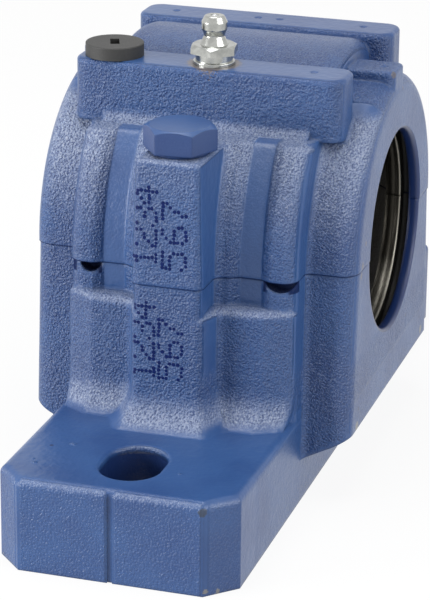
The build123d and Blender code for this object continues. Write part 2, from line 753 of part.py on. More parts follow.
with BuildPart() as inner_ring:
    with BuildSketch(split_plane):
        with BuildLine():
            Polyline(
                (bore_large_radius, -bearing_half),
                (inner_shoulder_radius, -bearing_half),
                (inner_shoulder_radius, -row_offset),
                (inner_land_middle, -row_offset),
                (inner_land_middle, row_offset),
                (inner_shoulder_radius, row_offset),
                (inner_shoulder_radius, bearing_half),
                (bore_small_radius, bearing_half),
                close=True,
            )
        make_face()
        for side in sides:
            with Locations((pitch_radius, side * row_offset)):
                Circle(ball_radius + raceway_gap, mode=Mode.SUBTRACT)
        chamfer(vertices().filter_by_position(Axis.Y, bearing_half - 0.01, bearing_half + 0.01),
                bore_chamfer)
        chamfer(vertices().filter_by_position(Axis.Y, -bearing_half - 0.01, 0.01 - bearing_half),
                bore_chamfer)
    revolve(axis=axis)

row_step = 360 / balls_per_row
# the balls of the rear row stand half a step further round
ball_angles = {side: [row_step * (k + (0.5 if side > 0 else 0)) for k in range(balls_per_row)]
               for side in sides}


def on_pitch_circle(side, angle):
    """A ball's place, with its own Z axis pointing away from the shaft."""
    return Location((pitch_radius * cos(radians(angle)), side * row_offset,
                     shaft_height + pitch_radius * sin(radians(angle))), (0, 90 - angle, 0))


with BuildPart() as cage:
    with BuildSketch(split_plane):
        with Locations(((cage_inner + cage_outer) / 2, 0)):
            Rectangle(cage_outer - cage_inner, 2 * cage_side)
    revolve(axis=axis)
    for side in sides:
        with Locations(*[on_pitch_circle(side, angle) for angle in ball_angles[side]]):
            Cylinder(ball_radius + pocket_gap, 2 * ball_radius, mode=Mode.SUBTRACT)

ball_rows = {}
for side in sides:
    with BuildPart() as ball_row:
        with Locations(*[on_pitch_circle(side, angle) for angle in ball_angles[side]]):
            Sphere(ball_radius)
    ball_rows[side] = ball_row

# =====================================================================
# LOCATING RINGS: sprung open rings that fill the seat on both sides
# =====================================================================
locating_rings = {}
for side in sides:
    with BuildPart() as locating_ring:
        with BuildSketch(split_plane):
            with Locations(((locating_ring_inner + seat_radius - locating_ring_gap) / 2,
                            side * (bearing_half + seat_half) / 2)):
                Rectangle(seat_radius - locating_ring_gap - locating_ring_inner,
                          seat_half - bearing_half - 2 * locating_ring_gap)
        revolve(axis=axis, revolution_arc=360 - locating_ring_cut)
    locating_rings[side] = locating_ring

# =====================================================================
# ADAPTER SLEEVE: tapered outside, slit along its length, threaded behind
# =====================================================================
sleeve_back = bearing_half + sleeve_rear
sleeve_face = -bearing_half - sleeve_front
thread_start = bearing_half + stack_gap
thread_radius = bore_small_radius - sleeve_gap - taper_slope * stack_gap

with BuildPart() as adapter_sleeve:
    with BuildSketch(split_plane):
        with BuildLine():
            Polyline(
                (shaft_radius, sleeve_face),
                (bore_large_radius - sleeve_gap + taper_slope * sleeve_front, sleeve_face),
                (thread_radius, thread_start),
                (thread_radius, sleeve_back),
                (shaft_radius, sleeve_back),
                close=True,
            )
        make_face()
        chamfer(vertices(), sleeve_edge)
    revolve(axis=axis)
    with Locations((0, (sleeve_back + sleeve_face) / 2, shaft_height)):
        Box(sleeve_slit, sleeve_back - sleeve_face + 1, 2 * shaft_radius,
            align=(Align.CENTER, Align.CENTER, Align.MIN), mode=Mode.SUBTRACT)

# =====================================================================
# TAB WASHER: its key lies in the slit, one outer tab is bent into the nut
# =====================================================================
washer_plane = Plane.XZ.offset(-thread_start).shift_origin((0, thread_start, shaft_height))
slot_floor = nut_radius - nut_slot_depth

with BuildPart() as tab_washer:
    with BuildSketch(washer_plane):
        Circle(washer_body_radius)
        with PolarLocations((washer_body_radius + washer_tab_radius) / 2 - 1, washer_tabs,
                            start_angle=90):
            Rectangle(washer_tab_radius - washer_body_radius + 2, washer_tab_width)
        Circle(thread_radius + washer_gap, mode=Mode.SUBTRACT)
        with Locations((0, (shaft_radius + thread_radius + washer_gap) / 2 + 1)):
            Rectangle(washer_key_width, thread_radius + washer_gap - shaft_radius)
    extrude(amount=-washer_thickness)
    # the tab that is bent over into a slot of the nut
    with BuildSketch(washer_plane):
        with Locations((0, slot_floor + washer_gap + washer_thickness / 2)):
            Rectangle(washer_tab_width, washer_thickness)
    extrude(amount=-washer_thickness - washer_bend_height)

# =====================================================================
# LOCK NUT with slots for a hook spanner
# =====================================================================
nut_front = thread_start + washer_thickness + stack_gap
nut_plane = Plane.XZ.offset(-nut_front).shift_origin((0, nut_front, shaft_height))

with BuildPart() as lock_nut:
    with BuildSketch(nut_plane):
        Circle(nut_radius)
    extrude(amount=-nut_width)
    chamfer(lock_nut.edges().filter_by(GeomType.CIRCLE), nut_chamfer)
    with BuildSketch(nut_plane):
        Circle(thread_radius + nut_thread_gap)
        with PolarLocations(nut_radius, nut_slots, start_angle=90):
            Rectangle(2 * nut_slot_depth, nut_slot_width)
    extrude(amount=-nut_width, mode=Mode.SUBTRACT)

# =====================================================================
# EXPORT: one file for each piece
# =====================================================================
pieces = {
    "base": base.part,
    "cap": cap.part,
    "cap_bolt_left": cap_bolts[-1].part,
    "cap_bolt_right": cap_bolts[1].part,
    "dowel_left": dowels[-1].part,
    "dowel_right": dowels[1].part,
    "plug": plug.part,
    "nipple_body": nipple_place * nipple_body.part,
    "nipple_ball": nipple_place * nipple_ball.part,
    "nipple_spring": nipple_place * nipple_spring.part,
    "outer_ring": outer_ring.part,
    "inner_ring": inner_ring.part,
    "cage": cage.part,
    "ball_row_front": ball_rows[-1].part,
    "ball_row_rear": ball_rows[1].part,
    "locating_ring_front": locating_rings[-1].part,
    "locating_ring_rear": locating_rings[1].part,
    "adapter_sleeve": adapter_sleeve.part,
    "tab_washer": tab_washer.part,
    "lock_nut": lock_nut.part,
}
for name, piece in pieces.items():
    piece.label = name
    export_step(piece, f"parts/{name}.step")
    print(name, len(piece.solids()), round(piece.volume, 1), piece.is_valid)
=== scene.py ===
# %% [markdown]
# # Split plummer block: finish, light and camera
#
# A plummer block is a cast-iron housing that carries a shaft on a bearing.  The
# castings, bolts and bearing come from the CAD frame and keep their meshes.  This
# script gives each of them its real finish: blue enamel over sand-cast iron, bare
# turned lands, bright zinc on the nipple and moulded plastic on the plug.  It also
# adds what is too small or too springy for the solids: punched numbers, casting
# pimples and the coil inside the nipple.

# %% Load the frame
import math
import random

import bmesh
import bpy
from mathutils import Matrix, Vector

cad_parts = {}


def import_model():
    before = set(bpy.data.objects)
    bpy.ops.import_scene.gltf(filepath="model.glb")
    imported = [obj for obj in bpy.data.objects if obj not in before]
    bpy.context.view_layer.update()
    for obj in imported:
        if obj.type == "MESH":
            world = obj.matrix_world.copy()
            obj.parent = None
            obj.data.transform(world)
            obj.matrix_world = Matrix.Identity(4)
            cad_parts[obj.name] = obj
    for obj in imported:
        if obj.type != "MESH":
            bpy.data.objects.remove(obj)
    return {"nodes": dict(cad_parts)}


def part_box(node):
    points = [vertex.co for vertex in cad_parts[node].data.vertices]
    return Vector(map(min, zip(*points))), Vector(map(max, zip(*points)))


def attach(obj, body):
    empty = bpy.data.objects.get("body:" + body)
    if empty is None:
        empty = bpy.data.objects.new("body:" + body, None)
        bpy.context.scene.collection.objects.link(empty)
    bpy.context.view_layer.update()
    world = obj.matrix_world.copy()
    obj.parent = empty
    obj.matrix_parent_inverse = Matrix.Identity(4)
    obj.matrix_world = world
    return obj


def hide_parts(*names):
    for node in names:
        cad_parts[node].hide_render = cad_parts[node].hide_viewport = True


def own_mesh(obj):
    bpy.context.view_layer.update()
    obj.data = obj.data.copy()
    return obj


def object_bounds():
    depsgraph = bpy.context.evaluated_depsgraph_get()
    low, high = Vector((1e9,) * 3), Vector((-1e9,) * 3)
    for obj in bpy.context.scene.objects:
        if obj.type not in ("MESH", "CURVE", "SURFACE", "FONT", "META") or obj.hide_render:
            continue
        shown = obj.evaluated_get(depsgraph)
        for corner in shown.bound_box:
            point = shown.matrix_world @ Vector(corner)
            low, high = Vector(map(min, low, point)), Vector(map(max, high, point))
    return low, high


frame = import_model()
cad_low, cad_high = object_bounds()
scene = bpy.context.scene
mm = 0.001


def plain(corner):
    """A corner as a plain list of numbers."""
    return [round(float(value), 6) for value in corner]


print("CAD box", plain(cad_low), plain(cad_high))

# %% [markdown]
# ## Places that the finishes need
#
# Paint, machining and rust follow the shape, so a few places are read from the
# frame: the shaft axis, the end faces, the bearing seat, the nipple and the pillars
# that carry the punched numbers.  Three more lie inside a casting, where its box
# doesn't show them, and are written as they are in the solids.

# %% Places
base_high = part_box("base")[1]
cap_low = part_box("cap")[0]
nipple_low, nipple_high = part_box("nipple_body")
seat_low, seat_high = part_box("outer_ring")

shaft_z = base_high[2]
half_width = -cap_low[1]
pillar_face = cap_low[0]
seat_radius = (seat_high[2] - seat_low[2]) / 2
nipple_middle = (Vector(nipple_low) + Vector(nipple_high)) / 2
flat_top = shaft_z + 46.8 * mm
foot_top = 23.6 * mm
slot_middle = 85.0 * mm
print("shaft height", round(shaft_z / mm, 1), "pillar face", round(pillar_face / mm, 1))

# %% [markdown]
# ## A small language for shader maths
#
# Shader nodes are easiest to read as sums.  `Wire` wraps one socket, and ordinary
# arithmetic on wires adds the matching Math nodes.  Every other node is made by
# `node`, which takes the node's type, its settings and the values or wires that go
# into its sockets.


# %% Wires
class Wire:
    """One output socket of a node tree, with ordinary arithmetic."""

    def __init__(self, tree, socket):
        self.tree = tree
        self.socket = socket

    def maths(self, operation, *others):
        values = dict(enumerate((self,) + others))
        return node(self.tree, "ShaderNodeMath", {"operation": operation}, values)

    def __add__(self, other):
        return self.maths("ADD", other)

    __radd__ = __add__

    def __mul__(self, other):
        return self.maths("MULTIPLY", other)

    __rmul__ = __mul__

    def __sub__(self, other):
        return self.maths("SUBTRACT", other)

    def __rsub__(self, other):
        return (self * -1) + other

    def __pow__(self, other):
        return self.maths("POWER", other)

    def __abs__(self):
        return self.maths("ABSOLUTE")

    def at_least(self, other):
        return self.maths("MAXIMUM", other)

    def root(self):
        return self.maths("SQRT")


def node(tree, kind, settings=None, values=None, output=0):
    """Adds a node, applies its settings and fills its sockets.

    Returns one output as a wire, or the node itself where output is None.
    """
    made = tree.nodes.new(kind)
    for name, setting in (settings or {}).items():
        setattr(made, name, setting)
    for name, value in (values or {}).items():
        socket = made.inputs[name]
        if isinstance(value, Wire):
            tree.links.new(value.socket, socket)
        else:
            socket.default_value = value
    return made if output is None else Wire(tree, made.outputs[output])


print("wires add, multiply and compare")

# %% [markdown]
# ## Ramps, mixes and colours
#
# Four small functions do most of the work: a smooth ramp up, the same ramp down, a mix
# of two colours and a blend of two numbers.  Colours are written from 0 to 255, as a
# screen shows them, and turned into the straight scale that light adds up in.


# %% Ramps, mixes and colours
def rise(wire, low, high):
    """0 below low, 1 above high, and a smooth ramp between them."""
    return node(wire.tree, "ShaderNodeMapRange", {"interpolation_type": "SMOOTHSTEP"},
                {"Value": wire, "From Min": low, "From Max": high})


def fall(wire, low, high):
    """1 below low, 0 above high."""
    return 1 - rise(wire, low, high)


def mix(amount, first, second):
    """Goes from the first colour to the second as amount goes from 0 to 1."""
    # the Mix node keeps its colour sockets at these places
    return node(amount.tree, "ShaderNodeMix", {"data_type": "RGBA"},
                {0: amount, 6: first, 7: second}, output=2)


def blend(amount, first, second):
    """Goes from the first number to the second as amount goes from 0 to 1."""
    return first + (second - first) * amount


def linear(red, green, blue):
    """A screen colour, each part from 0 to 255, as a shader colour."""
    parts = []
    for part in (red, green, blue):
        share = part / 255
        # the usual curve of a screen: straight near black, a power above
        straight = share / 12.92
        curved = ((share + 0.055) / 1.055) ** 2.4
        parts.append(straight if share <= 0.04045 else curved)
    return (*parts, 1)


print("middle grey is", round(linear(128, 128, 128)[0], 3), "in light")

# %% [markdown]
# ## What every finish starts from
#
# A finish is one Principled shader.  Its patterns are laid out in metres from the
# origin that all the parts share, so a grain of sand is as large on the foot as on the
# crown.  `rounded` softens the sharp edges of the solids, as casting and paint do, and
# `near_edge` finds the skin beside an edge by how far that softening turns it.


# %% Common parts of a finish
class Finish:
    """A material with its shader, and wires for place and facing."""

    def __init__(self, name):
        self.material = bpy.data.materials.new(name)
        self.material.use_nodes = True
        self.tree = self.material.node_tree
        self.tree.nodes.clear()
        self.output = node(self.tree, "ShaderNodeOutputMaterial", output=None)
        self.shader = node(self.tree, "ShaderNodeBsdfPrincipled", output=None)
        self.tree.links.new(self.shader.outputs[0], self.output.inputs["Surface"])
        self.place = node(self.tree, "ShaderNodeTexCoord", output="Object")
        self.x, self.y, self.z = self.parts(self.place)
        facing = node(self.tree, "ShaderNodeTexCoord", output="Normal")
        self.facing_x, self.facing_y, self.facing_z = self.parts(facing)

    def parts(self, vector):
        """The three parts of a vector as wires."""
        apart = node(self.tree, "ShaderNodeSeparateXYZ", values={0: vector}, output=None)
        return tuple(Wire(self.tree, socket) for socket in apart.outputs)

    def noise(self, size, detail=2.0, rough=0.5, place=None):
        """Cloudy noise whose lumps are about size metres across."""
        return node(self.tree, "ShaderNodeTexNoise", {"noise_dimensions": "3D"},
                    {"Vector": place or self.place, "Scale": 1 / size, "Detail": detail,
                     "Roughness": rough})

    def away(self, spot):
        """Distance from a place on the object."""
        return node(self.tree, "ShaderNodeVectorMath", {"operation": "DISTANCE"},
                    {0: self.place, 1: tuple(spot)}, output="Value")

    def near(self, spot, radius, core=0.25):
        """1 at a place, as far as core times the radius, fading to 0 at the radius."""
        return fall(self.away(spot), core * radius, radius)

    def value(self, name, number):
        """Sets an even value on the shader's own socket."""
        self.shader.inputs[name].default_value = number

    def feed(self, name, wire):
        """Links a value that changes over the surface to the shader."""
        self.tree.links.new(wire.socket, self.shader.inputs[name])

    def rounded(self, radius):
        """Facing of the surface as if its edges were rounded to this radius."""
        return node(self.tree, "ShaderNodeBevel", {"samples": 6}, {"Radius": radius})

    def near_edge(self, radius, clear_edge=0.97, flat_face=0.999):
        """1 close to edges and inner corners, 0 away from them."""
        straight = node(self.tree, "ShaderNodeNewGeometry", output="Normal")
        alike = node(self.tree, "ShaderNodeVectorMath", {"operation": "DOT_PRODUCT"},
                     {0: self.rounded(radius), 1: straight}, output="Value")
        return fall(alike, clear_edge, flat_face)

    def bump(self, height, depth, soft_edge=None):
        """Relief of the given depth in metres; soft_edge rounds the edges under it."""
        values = {"Strength": 1.0, "Distance": depth, "Height": height}
        if soft_edge:
            values["Normal"] = self.rounded(soft_edge)
        self.feed("Normal", node(self.tree, "ShaderNodeBump", values=values))

    def shadow(self, mask, tint):
        """Where the mask is 1, a dull dark skin that reflects nothing shows instead."""
        dull = node(self.tree, "ShaderNodeBsdfDiffuse", values={"Color": tint})
        skin = Wire(self.tree, self.shader.outputs[0])
        joined = node(self.tree, "ShaderNodeMixShader", values={0: mask, 1: skin, 2: dull})
        self.tree.links.new(joined.socket, self.output.inputs["Surface"])

    def paint(self, *names):
        """Gives the finish to CAD nodes, in every slot that they have."""
        for name in names:
            for slot in frame["nodes"][name].material_slots:
                slot.material = self.material


print("finish parts ready")

# %% [markdown]
# ## Edges and bands on the shape
#
# A mask says where a finish lies.  Masks could be painted by hand, but written from the
# shape they stay right when a size changes.  An edge is given by the two ends of its
# ramp in millimetres, and a band by the ramp into it and the ramp out of it.  An edge
# may also count from a place that was read from the frame.


# %% Edges and bands
def past(wire, edge, start=0.0):
    """1 past an edge, whose ramp is given in millimetres from start."""
    return rise(wire, start + edge[0] * mm, start + edge[1] * mm)


def before(wire, edge, start=0.0):
    """1 before an edge, 0 past it."""
    return fall(wire, start + edge[0] * mm, start + edge[1] * mm)


def within(wire, band):
    """1 in a band: its first two numbers are the ramp in, the others the ramp out."""
    return past(wire, band[:2]) * before(wire, band[2:])


def from_shaft(skin):
    """Distance from the shaft axis."""
    return (skin.x ** 2 + (skin.z - shaft_z) ** 2).root()


print("edges count from the shaft at", round(shaft_z / mm, 1), "mm")

# %% [markdown]
# ## Where the casting is pebbly
#
# The castings come out of sand moulds, so their skin is pebbly where the mould was
# rough: on the pillars, the drum, the shelves and the crown, and less on the feet and
# the end faces.  The recesses beside the pillars and the slots in the feet came out
# smooth, and paint gathers along edges and in corners and hides the grain there.

# %% Where the skin is rough
faces_aside = (0.4, 0.7)
faces_up = (0.2, 0.5)
faces_squarely = (0.8, 0.95)
slot_half_length = (10.2, 10.4)
slot_half_width = (7.6, 7.8)
slot_wall = (0.1, 0.3, 21.5, 22.6)
shelf_height = (30, 34, 94, 97)
crown_half_width = (15.5, 16.5)
end_face = (29, 30)
hollow_height = (24.5, 27, 34, 40)
recess_across = (14.2, 15.2, 20.4, 21.4)
recess_radius = (49.7, 50.1)
recess_aside = (33, 34)
foot_start = (80, 84)
foot_tip = (99, 101)
corner_across = 23.2 * mm
corner_half_width = (0.5, 1.1)
mark_half_width = (0.8, 1.4)
gathering = 2.2 * mm


def foot_slot(skin):
    """1 on the walls of the slots for the holding-down bolts."""
    from_slot = abs(abs(skin.x) - slot_middle)
    return (before(from_slot, slot_half_length) * before(abs(skin.y), slot_half_width)
            * within(skin.z, slot_wall))


def sandiness(skin):
    """1 where the casting is pebbly, 0 where the enamel lies smooth."""
    across = abs(skin.y)
    aside = abs(skin.x)
    # every face that looks along the feet, and the shelves and crown above
    sides = rise(abs(skin.facing_x), *faces_aside)
    on_top = within(skin.z, shelf_height).at_least(before(aside, crown_half_width))
    tops = rise(skin.facing_z, *faces_up) * on_top
    ends = rise(abs(skin.facing_y), *faces_squarely) * past(across, end_face) * 0.35
    foot_hollow = within(skin.z, hollow_height)
    sandy = sides.at_least(tops).at_least(ends).at_least(foot_hollow * 0.8)
    # the recesses and slots are smooth, and so are the filled corners and mark of a foot
    recess = (within(across, recess_across) * before(from_shaft(skin), recess_radius)
              * past(aside, recess_aside))
    corner = before(abs(across - corner_across), corner_half_width)
    filled = corner.at_least(before(across, mark_half_width)) * past(aside, foot_tip)
    smooth = filled.at_least(foot_slot(skin) * 0.8).at_least(recess * 0.85)
    # the feet were moulded against a finer face, and paint didn't gather there
    foot = past(aside, foot_start)
    gathered = skin.near_edge(gathering) * (1 - foot)
    return sandy * (1 - smooth.at_least(gathered * 0.75)) * (1 - foot * 0.6)


print("paint gathers within", round(gathering / mm, 1), "mm of an edge")

# %% [markdown]
# ## Blue enamel over the sand
#
# The enamel fills part of the grain and leaves a faint orange peel elsewhere.  Grain
# could be a displaced mesh, but the castings keep their meshes, so it is bump.  The
# upper side of each grain is painted lighter, as a painted highlight, and the lower one
# darker, as painted shade.  The difference between the noise at a place and slightly
# above it tells the two sides apart, and stays the same from wherever one looks.

# %% Enamel
enamel_blue = linear(48, 80, 130)
enamel_deep = linear(38, 68, 118)
dust_and_sheen_grey = linear(118, 132, 162)
enamel_shade = linear(26, 48, 98)
grain_highlight = linear(158, 166, 186)
grain_shade = linear(28, 50, 100)
grain_size = 0.54 * mm
lump_size = 2.6 * mm
peel_size = 1.9 * mm
cloud_size = 20 * mm
toward_light = Vector((-0.1, 0.16, 0.2)) * mm
below_crown = (94, 97)
shoulder_height = (80, 88, 91, 93)
looking_up = (0.1, 0.7)
thick_paint = (0.35, 0.68)
highlight_patches = (0.4, 0.62)
lit_flank = (0.02, 0.16)
shaded_flank = (-0.16, 0.0)


def enamel(name, grain_share=1.0):
    """Blue enamel with sand grain, orange peel, clouds of thicker paint, and painted highlights
    and shade on the grain.
    """
    skin = Finish(name)
    sandy = sandiness(skin) * grain_share
    skin.grain = skin.noise(grain_size, rough=0.55)
    higher = node(skin.tree, "ShaderNodeVectorMath", {"operation": "ADD"},
                  {0: skin.place, 1: toward_light})
    # the grain's drop towards the light: above zero on a grain's lit side, below zero on its
    # shaded side
    flank = skin.grain - skin.noise(grain_size, rough=0.55, place=higher)
    lump = skin.noise(lump_size)
    peel = skin.noise(peel_size, detail=1.0)
    skin.cloud = skin.noise(cloud_size, detail=3.0)
    skin.relief = (skin.grain * 0.6 + lump * 0.4) * sandy + peel * (0.1 - 0.06 * sandy)
    # dust and a painted sheen grey the pebbly skin, most where it looks up and on the pillar
    # shoulders
    looks_up = rise(skin.facing_z, *looking_up) * before(skin.z, below_crown)
    patchy = rise(skin.cloud, *highlight_patches)
    shoulder = within(skin.z, shoulder_height)
    # how strong the painted highlight on the grain is: patchy at random, stronger where the
    # skin looks up and on the pillar shoulders
    glint = 0.06 + patchy * 0.15 + looks_up * 0.45 + shoulder * 0.12
    colour = mix(rise(skin.cloud, *thick_paint), enamel_blue, enamel_deep)
    colour = mix(sandy * (looks_up * 0.9 + shoulder * 0.08), colour, dust_and_sheen_grey)
    # painted highlight on the upper side of each grain, painted shade on the lower side
    colour = mix(rise(flank, *lit_flank) * sandy * glint, colour, grain_highlight)
    skin.colour = mix(fall(flank, *shaded_flank) * sandy * 0.75, colour, grain_shade)
    skin.value("IOR", 1.5)
    return skin


print("grain", round(grain_size / mm, 2), "mm")

# %% [markdown]
# ## Paint worn off, rust and dirt
#
# A block that has been shipped loses paint at its corners.  Each worn place is a spot
# with a ragged edge, laid over the enamel at a place on the casting.  The places and
# radii are in millimetres.

# %% Wear
rust_brown = linear(92, 86, 90)
khaki_bare = linear(124, 122, 116)
pit_dark = linear(14, 24, 62)
dirt_grey = linear(52, 60, 72)
raggedness = 1.4
patch_edge = (0.4, 0.75)
patch_cover = 0.8
cap_rust = [((-34.3, -42.1, 61.2), 1.5), ((-4.6, -41.8, 102.6), 1.7),
            ((-31.6, -42.2, 66.2), 1.1), ((3.4, -42.2, 97.0), 0.9),
            ((29.5, 42.2, 66.0), 1.2), ((5.2, 41.8, 102.8), 1.3)]
base_rust = [((-34.6, -42.1, 58.6), 1.5)]
base_khaki = [((34.4, -42.0, 19.6), 2.0), ((-35.0, -42.0, 18.4), 2.2),
              ((-102.3, -23.8, 1.2), 1.3), ((-100.0, -26.2, 0.6), 1.4),
              ((101.6, 24.5, 0.8), 1.6), ((-97.0, 29.8, 0.8), 1.5)]
base_pits = [((15.8, -42.2, 30.4), 0.9), ((32.4, -42.2, 23.9), 0.9),
             ((-33.8, -42.2, 22.8), 1.0), ((-81.5, 22.3, 23.6), 0.8),
             ((-102.5, 24.5, 11.7), 0.9), ((92.4, 18.0, 23.6), 0.9)]
base_dirt = [((-102.4, -22.9, 21.4), 1.9), ((-100.6, -26.4, 22.0), 1.6),
             ((-99.4, -28.3, 22.3), 1.4)]
cap_wear = ((cap_rust, rust_brown),)
base_wear = ((base_rust, rust_brown), (base_khaki, khaki_bare), (base_pits, pit_dark),
             (base_dirt, dirt_grey))


def wear(skin, layers):
    """Lays small ragged spots of each tint over the colour."""
    for spots, tint in layers:
        total = None
        for place, radius in spots:
            spot = skin.near([value * mm for value in place], radius * mm)
            total = spot if total is None else total.at_least(spot)
        patch = rise(total + (skin.grain - 0.5) * raggedness, *patch_edge)
        skin.colour = mix(patch * patch_cover, skin.colour, tint)


print("worn places", sum(len(spots) for spots, tint in cap_wear + base_wear))

# %% [markdown]
# ## Turned and cored surfaces
#
# The mouth in each end face is painted, and everything behind it is left as the lathe
# cut it: a narrow land, the groove for a seal, the bearing seat.  The cored hollow
# between them has dark primer.  Again the masks are written from the shape: the
# distance from the shaft axis and the distance from the middle of the block.

# %% Turned and cored surfaces
mouth = half_width - 2.85 * mm
groove = mouth - 2.5 * mm
throat = half_width - 9.45 * mm
mouth_radius = (27.0, 27.1)
groove_radius = (30.9, 31.0)
land_radius = (27.5, 27.7)
seat_half_width = (15.1, 15.2)
cored_radius = (44.1, 44.2)
cone_start = 21 * mm
cone_slope = 1.076


def turned_skin(skin):
    """Masks for the mouth's ring, the cored hollow, the groove, the land and all turning."""
    from_axis = from_shaft(skin)
    across = abs(skin.y)
    ring = (before(from_axis, mouth_radius) * past(across, (-0.05, 0), mouth)
            * before(across, (-0.05, 0), half_width))
    # the hollow follows the cone from the drum's inside down to the throat
    cone = from_axis + (across - cone_start).at_least(0) * cone_slope
    cored = before(cone, cored_radius) * before(across, (0.02, 0.04), throat)
    in_groove = (before(from_axis, groove_radius) * before(across, (-0.06, -0.02), mouth)
                 * past(across, (0, 0.1), throat))
    land = (before(from_axis, land_radius) * before(across, (-0.03, -0.01), groove)
            * past(across, (-0.1, 0), throat))
    seat = (past(from_axis, (-0.3, -0.2), seat_radius)
            * before(from_axis, (0.2, 0.3), seat_radius) * before(across, seat_half_width))
    under = before(skin.z, (0.02, 0.06)) * rise(skin.facing_z * -1, *faces_squarely)
    return ring, cored, in_groove, land, land.at_least(seat).at_least(under)


print("mouth", round(mouth / mm, 2), "groove", round(groove / mm, 2),
      "throat", round(throat / mm, 2))

# %% [markdown]
# ## The finish of a casting
#
# Enamel comes first, then the mouth's ring darkened as painted shade, primer in the
# hollow, and bare iron with fine lathe marks.  Seal groove and turned land are painted
# dark as shade, but the land keeps bright iron low down and at its outer edge, as a
# painted reflection and highlight.  Where the cap sits on the base, and in the pry
# slots under it, light hardly reaches, so a dull dark skin stands for the shadow.

# %% Castings
# the enamel of the mouth's ring, darkened as painted shade
ring_shade_blue = linear(20, 42, 90)
primer = linear(88, 86, 80)
# the seal groove's dark greys are painted shade in the groove
groove_shade_dark = linear(34, 34, 36)
groove_shade_pale = linear(58, 57, 52)
iron_dark = linear(104, 101, 92)
iron_bright = linear(196, 192, 180)
# the turned land's dark tints are painted shade
land_shade_dark = linear(30, 28, 25)
land_shade_pale = linear(84, 81, 74)
lathe_marks_a_metre = 7000.0
smear_size = 9 * mm
relief_depth = 1.1 * mm
edge_rounding = 1.3 * mm
joint_half_height = (0.06, 0.28)
outside_mouth = (30, 31)
pry_slot_radius = (49.3, 49.8)
pry_slot_aside = (46.0, 46.2)
pry_slot_across = (20.8, 21.1, 29.4, 29.5)
pry_slot_bottom = (56.9, 57.2)


def dark_gaps(skin):
    """1 in the joint line between cap and base, and in the pry slots under it."""
    from_axis = from_shaft(skin)
    joint = (before(abs(skin.z - shaft_z), joint_half_height)
             * past(from_axis, outside_mouth))
    slots = (before(from_axis, pry_slot_radius) * past(abs(skin.x), pry_slot_aside)
             * within(abs(skin.y), pry_slot_across) * past(skin.z, pry_slot_bottom)
             * before(skin.z, (0.1, 0.2), shaft_z))
    return (joint * 0.8).at_least(slots * 0.85)


def casting(name):
    """Enamel outside, turned and cored surfaces inside."""
    skin = enamel(name)
    skin.shadow(dark_gaps(skin), pit_dark)
    ring, cored, in_groove, land, turned = turned_skin(skin)
    lathe = node(skin.tree, "ShaderNodeTexNoise", {"noise_dimensions": "1D"},
                 {"W": skin.y, "Scale": lathe_marks_a_metre, "Detail": 2.0})
    smear = skin.noise(smear_size, detail=3.0)
    streaks = lathe * 0.6 + smear * 0.4
    # the land is painted dark as shade, except low down and at its outer edge, where bright
    # iron stands for a painted reflection and highlight
    lit_low_down = before(skin.z, (-21, -15), shaft_z)
    highlit_edge = past(abs(skin.y), (-0.5, -0.3), groove)
    unshaded = lit_low_down.at_least(highlit_edge).at_least(1 - land)
    iron = mix(streaks, iron_dark, iron_bright)
    shaded_land = mix(streaks, land_shade_dark, land_shade_pale)
    groove_shade = mix(smear, groove_shade_dark, groove_shade_pale)
    colour = mix(ring, skin.colour, ring_shade_blue)
    colour = mix(cored, colour, primer)
    colour = mix(in_groove * (1 - land), colour, groove_shade)
    skin.colour = mix(turned, colour, mix(unshaded, shaded_land, iron))
    bare = turned.at_least(in_groove * 0.6)
    skin.feed("Metallic", bare * 0.95)
    skin.feed("Roughness", blend(bare, 0.26 + skin.cloud * 0.1, 0.2 + lathe * 0.16))
    relief = skin.relief * (1 - bare.at_least(ring)) + lathe * bare * 0.02
    skin.bump(relief, relief_depth, soft_edge=edge_rounding)
    return skin


print("lathe marks", round(1 / lathe_marks_a_metre / mm, 2), "mm apart")

# %% [markdown]
# ## Cap, base and bolts
#
# The cap is scuffed brown around the nipple, where the head of a grease gun turns.  The
# bolts carry the same enamel over a finer skin, and the upright flats of their heads
# are painted darker, as painted shade.

# %% Cap, base and bolts
scuff_brown = linear(104, 94, 88)
scuff_radius = (6.3, 7.1)
scuff_ragged = 3.0 * mm
slot_shade = linear(20, 36, 80)
flat_tilt = (0.3, 0.6)

cap_skin = casting("blue_enamel_cap")
port = cap_skin.away((nipple_middle.x, nipple_middle.y, flat_top))
scuffed = before(port + (cap_skin.grain - 0.5) * scuff_ragged, scuff_radius)
cap_skin.colour = mix(scuffed * 0.85, cap_skin.colour, scuff_brown)
wear(cap_skin, cap_wear)
cap_skin.feed("Base Color", cap_skin.colour)
cap_skin.paint("cap")

base_skin = casting("blue_enamel_base")
base_skin.colour = mix(foot_slot(base_skin) * 0.8, base_skin.colour, slot_shade)
wear(base_skin, base_wear)
base_skin.feed("Base Color", base_skin.colour)
base_skin.paint("base")

bolt_skin = enamel("blue_enamel_bolt", grain_share=0.3)
# the upright flats of the heads are painted darker as shade
shaded_bolt_flats = fall(abs(bolt_skin.facing_z), *flat_tilt)
bolt_skin.feed("Base Color", mix(shaded_bolt_flats * 0.6, bolt_skin.colour, enamel_shade))
bolt_skin.feed("Roughness", 0.28 + bolt_skin.cloud * 0.12)
bolt_skin.bump(bolt_skin.relief, 0.3 * mm, soft_edge=0.6 * mm)
bolt_skin.paint("cap_bolt_left", "cap_bolt_right")
print("enamel laid on cap, base and bolts")

# %% [markdown]
# ## Bare metals
#
# Bright zinc on the nipple, polished balls, ground steel on the rings and pins, brass
# for the cage, and oiled turned steel on the sleeve, washer and nut.  One function
# makes them all: a tint and a roughness that wander between two ends over lumps of a
# given size, because turned or plated metal is never one even colour.


